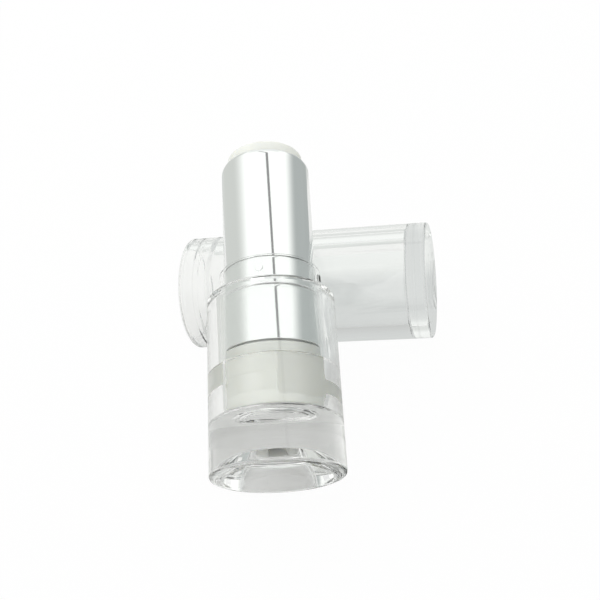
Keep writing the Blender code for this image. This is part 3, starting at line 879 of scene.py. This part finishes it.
def guide_outline():
    waist_low = WAIST_LOW + WAIST_SLOPE
    return [
        (0, PLUG_LOW + PLUG_FLOOR),
        (GUIDE_BORE, PLUG_LOW + PLUG_FLOOR),
        *arc((GUIDE_BORE + RIM_EDGE, GUIDE_TOP - RIM_EDGE), RIM_EDGE, 180, 90),
        *arc((GUIDE_RADIUS - RIM_TAPER[0] - RIM_EDGE, GUIDE_TOP - RIM_EDGE), RIM_EDGE, 90, 0),
        (GUIDE_RADIUS, GUIDE_TOP - RIM_TAPER[1]),
        (GUIDE_RADIUS, BEAD_LOW + BEAD_HEIGHT + BEAD_RADIUS - GUIDE_RADIUS),
        (BEAD_RADIUS, BEAD_LOW + BEAD_HEIGHT),
        (BEAD_RADIUS, BEAD_LOW),
        (GUIDE_RADIUS, BEAD_LOW),
        (GUIDE_RADIUS, PLUG_TOP),
        *arc((PLUG_RADIUS - PLUG_EDGE, PLUG_TOP - PLUG_EDGE), PLUG_EDGE, 90, 0),
        *[(PLUG_RADIUS, height) for height in PLUG_RINGS if height > WAIST_TOP],
        (PLUG_RADIUS, WAIST_TOP),
        (WAIST_RADIUS, WAIST_TOP - WAIST_SLOPE),
        *[(WAIST_RADIUS, height) for height in PLUG_RINGS if waist_low < height < WAIST_TOP - WAIST_SLOPE],
        (WAIST_RADIUS, waist_low),
        (PLUG_RADIUS, WAIST_LOW),
        (PLUG_RADIUS, PRESSED[1][0]),
        *arc((PLUG_RADIUS - PLUG_EDGE, PLUG_LOW + PLUG_EDGE), PLUG_EDGE, 0, -90),
        (0, PLUG_LOW),
    ]


def block(name, size, middle):
    """Box in the millimetre frame of a piece, for cutting or joining."""
    bm = bmesh.new()
    bmesh.ops.create_cube(bm, size=1)
    bmesh.ops.scale(bm, vec=Vector(size) * MM, verts=bm.verts)
    bmesh.ops.translate(bm, vec=Vector(middle) * MM, verts=bm.verts)
    mesh = bpy.data.meshes.new(name)
    bm.to_mesh(mesh)
    bm.free()
    box = bpy.data.objects.new(name, mesh)
    bpy.context.scene.collection.objects.link(box)
    return box


def press(piece, low, high, middle_turn, half_width):
    """Bring a sector of the plug's side, between two heights, up against the wall of the bore."""
    # Points nearer to the axis than this aren't on the plug's side, and stay where they are
    catch = WAIST_RADIUS * MM * PRESS_CATCH_SHARE
    for vertex in piece.data.vertices:
        radius = math.hypot(vertex.co.x, vertex.co.y)
        turn = math.degrees(math.atan2(vertex.co.y, vertex.co.x))
        off = abs((turn - middle_turn + 180) % 360 - 180)
        if low <= vertex.co.z / MM <= high and off < half_width and radius > catch:
            vertex.co.x *= PRESSED_RADIUS * MM / radius
            vertex.co.y *= PRESSED_RADIUS * MM / radius


guide_fine = turned("white_guide", guide_outline())
for low, high, middle_turn, half_width in PRESSED:
    press(guide_fine, low, high, middle_turn, half_width)
slot_middle = (0, 0, LUG_LEVEL + CUP_TRAVEL / 2)
slot_cut = block("slot", (2 * BEAD_RADIUS, LUG_SLOT, CUP_TRAVEL + LUG_SLOT), slot_middle)
key_cut = block("key_hole", (*KEY_HOLE, 2 * PLUG_FLOOR), (0, 0, PLUG_LOW + PLUG_FLOOR / 2))
worked(guide_fine, [slot_cut, key_cut], "DIFFERENCE")
finish_piece(guide_fine, TUBE, "guide_tube", "base", natural_white)

# %% [markdown]
# ## The metal shell
#
# The shell is drawn from thin aluminium. Its top edge is rolled in over the guide tube with a soft radius,
# which bends the reflections of the sheets into the thin curved line at the top of the photograph.

# %% Metal shell
SHELL_LOW = 20.2
SHELL_TOP = 57.4
SHELL_WALL = 0.3
SHELL_EDGE = 1.6
SHELL_LIP = 7.1
HEM = 0.12
ROLL_STEPS = 12


def shell_outline():
    middle = SHELL_RADIUS - SHELL_EDGE
    turn = math.degrees(math.acos((SHELL_LIP - middle) / SHELL_EDGE))
    centre = (middle, SHELL_TOP - SHELL_EDGE * math.sin(math.radians(turn)))
    return [
        *arc(centre, SHELL_EDGE, turn, 0, ROLL_STEPS),
        *arc((SHELL_RADIUS - HEM, SHELL_LOW + HEM), HEM, 0, -90),
        (SHELL_RADIUS - SHELL_WALL, SHELL_LOW),
        *arc(centre, SHELL_EDGE - SHELL_WALL, 0, turn, ROLL_STEPS),
    ]


shell_fine = turned("silver_shell", shell_outline(), closed=True)
finish_piece(shell_fine, TUBE, "metal_shell", "sleeve", silver)

# %% [markdown]
# ## The cup and the spiral
#
# The cup that holds the lipstick sits low in the guide tube, and is seen only from above, through the
# mouth. Six small ribs grip the lipstick's foot. The spiral sleeve is hidden in the shell and already has
# its full shape in the frame, so it only gets a finish.

# %% Cup
CUP_BORE = 6.05
CUP_RADIUS = 6.4
CUP_LOW = 22.3
CUP_HEIGHT = 13.0
CUP_FLOOR = 4.0
CUP_FLOOR_THICKNESS = 0.8
CUP_VENT = 1.0
CUP_LIP = 0.12
RIB_COUNT = 6
RIB_SIZE = (0.425, 0.6, 6.4)
RIB_PROUD = 0.25
LUG_RADIUS = 0.8
LUG_REACH = 7.35


def cup_outline():
    top = CUP_LOW + CUP_HEIGHT
    floor_low = CUP_LOW + CUP_FLOOR
    return [
        (CUP_VENT, floor_low + CUP_FLOOR_THICKNESS),
        (CUP_BORE, floor_low + CUP_FLOOR_THICKNESS),
        *arc((CUP_BORE + CUP_LIP, top - CUP_LIP), CUP_LIP, 180, 90),
        *arc((CUP_RADIUS - CUP_LIP, top - CUP_LIP), CUP_LIP, 90, 0),
        (CUP_RADIUS, CUP_LOW),
        (CUP_BORE, CUP_LOW),
        (CUP_BORE, floor_low),
        (CUP_VENT, floor_low),
    ]


def lug(side):
    """Round pin through the cup's wall, on one side."""
    inside = (CUP_BORE + CUP_RADIUS) / 2
    bm = bmesh.new()
    bmesh.ops.create_cone(
        bm,
        cap_ends=True,
        segments=32,
        radius1=LUG_RADIUS * MM,
        radius2=LUG_RADIUS * MM,
        depth=(LUG_REACH - inside) * MM,
    )
    bmesh.ops.rotate(bm, cent=(0, 0, 0), matrix=Matrix.Rotation(math.pi / 2, 3, "Y"), verts=bm.verts)
    middle = Vector((side * (LUG_REACH + inside) / 2, 0, LUG_LEVEL)) * MM
    bmesh.ops.translate(bm, vec=middle, verts=bm.verts)
    mesh = bpy.data.meshes.new("lug")
    bm.to_mesh(mesh)
    bm.free()
    pin = bpy.data.objects.new("lug", mesh)
    bpy.context.scene.collection.objects.link(pin)
    return pin


def rib(index):
    """Small upright rib inside the cup's wall."""
    floor_top = CUP_LOW + CUP_FLOOR + CUP_FLOOR_THICKNESS
    middle = (CUP_BORE - RIB_PROUD + RIB_SIZE[0] / 2, 0, floor_top + RIB_SIZE[2] / 2 - RIB_PROUD)
    bar = block("rib", RIB_SIZE, middle)
    turn = (index + 0.5) * 2 * math.pi / RIB_COUNT
    bar.data.transform(Matrix.Rotation(turn, 4, "Z"))
    return bar


cup_fine = turned("bullet_cup", cup_outline(), closed=True)
worked(cup_fine, [lug(1), lug(-1)] + [rib(index) for index in range(RIB_COUNT)], "UNION")
finish_piece(cup_fine, TUBE, "cup", "carrier", white_inner)

# %% Spiral sleeve
spiral = frame["nodes"]["spiral_sleeve"]
spiral.data.materials.clear()
spiral.data.materials.append(white_inner)
print("spiral_sleeve keeps the frame's shape, in", white_inner.name)

# %% [markdown]
# ## The clear cap
#
# The cap is a clear cup with a thick closed end. Its mouth is bored wider for the collar, with a shallow
# groove that snaps over the bumps. Each of those steps bends light, so each shows as a thin curved line.
# Their corners are eased, as a mould leaves them, and that keeps the lines soft.

# %% Clear cap
CAP_RADIUS = 11.0
CAP_END = 3.6
CAP_EDGE = 0.5
CAP_MOUTH_EDGE = 0.45
CAP_BORE = 8.35
CAP_MOUTH_BORE = 8.95
CAP_MOUTH_DEPTH = 5.2
CAP_TAPER = 0.6
CAP_FILLET = 0.6
SNAP_LOW = 2.25
SNAP_HIGH = 3.75
SNAP_DEPTH = 0.1
SNAP_EASE = 0.5
TAPER_EASE = 0.3
EASE_STEPS = 8


def eased(start, end):
    """Points of a step in an outline, with a soft corner at each end."""
    points = []
    for step in range(EASE_STEPS + 1):
        along = step / EASE_STEPS
        across = along * along * (3 - 2 * along)
        points.append((start[0] + (end[0] - start[0]) * across, start[1] + (end[1] - start[1]) * along))
    return points


def cap_outline():
    bore_end = CAP_LENGTH - CAP_END
    snap_radius = CAP_MOUTH_BORE + SNAP_DEPTH
    taper_low = (CAP_MOUTH_BORE, CAP_MOUTH_DEPTH - TAPER_EASE)
    taper_high = (CAP_BORE, CAP_MOUTH_DEPTH + CAP_TAPER + TAPER_EASE)
    return [
        (0, CAP_LENGTH),
        *arc((CAP_RADIUS - CAP_EDGE, CAP_LENGTH - CAP_EDGE), CAP_EDGE, 90, 0),
        *arc((CAP_RADIUS - CAP_MOUTH_EDGE, CAP_MOUTH_EDGE), CAP_MOUTH_EDGE, 0, -90),
        (CAP_MOUTH_BORE, 0),
        *eased((CAP_MOUTH_BORE, SNAP_LOW), (snap_radius, SNAP_LOW + SNAP_EASE)),
        *eased((snap_radius, SNAP_HIGH - SNAP_EASE), (CAP_MOUTH_BORE, SNAP_HIGH)),
        *eased(taper_low, taper_high),
        *arc((CAP_BORE - CAP_FILLET, bore_end - CAP_FILLET), CAP_FILLET, 0, 90),
        (0, bore_end),
    ]


cap_fine = turned("clear_cap_piece", cap_outline())
finish_piece(cap_fine, CAP, "cap", "cap", cap_acrylic)
# Its shadow is painted on the floor instead, by the cap's painted shadow sheets.
cap_fine.visible_shadow = False

# %% [markdown]
# ## Light paths
#
# Light crosses many walls here: in through the base, the collar, back from the shell, and out again, with
# the cap behind. Blender's usual twelve bounces would turn such paths black, so there are more of them.

# %% Light paths
CLEAR_BOUNCES = 32
MIRROR_BOUNCES = 16
MATT_BOUNCES = 4

scene.cycles.max_bounces = CLEAR_BOUNCES
scene.cycles.transmission_bounces = CLEAR_BOUNCES
scene.cycles.glossy_bounces = MIRROR_BOUNCES
scene.cycles.diffuse_bounces = MATT_BOUNCES
print("light paths of up to", CLEAR_BOUNCES, "bounces")
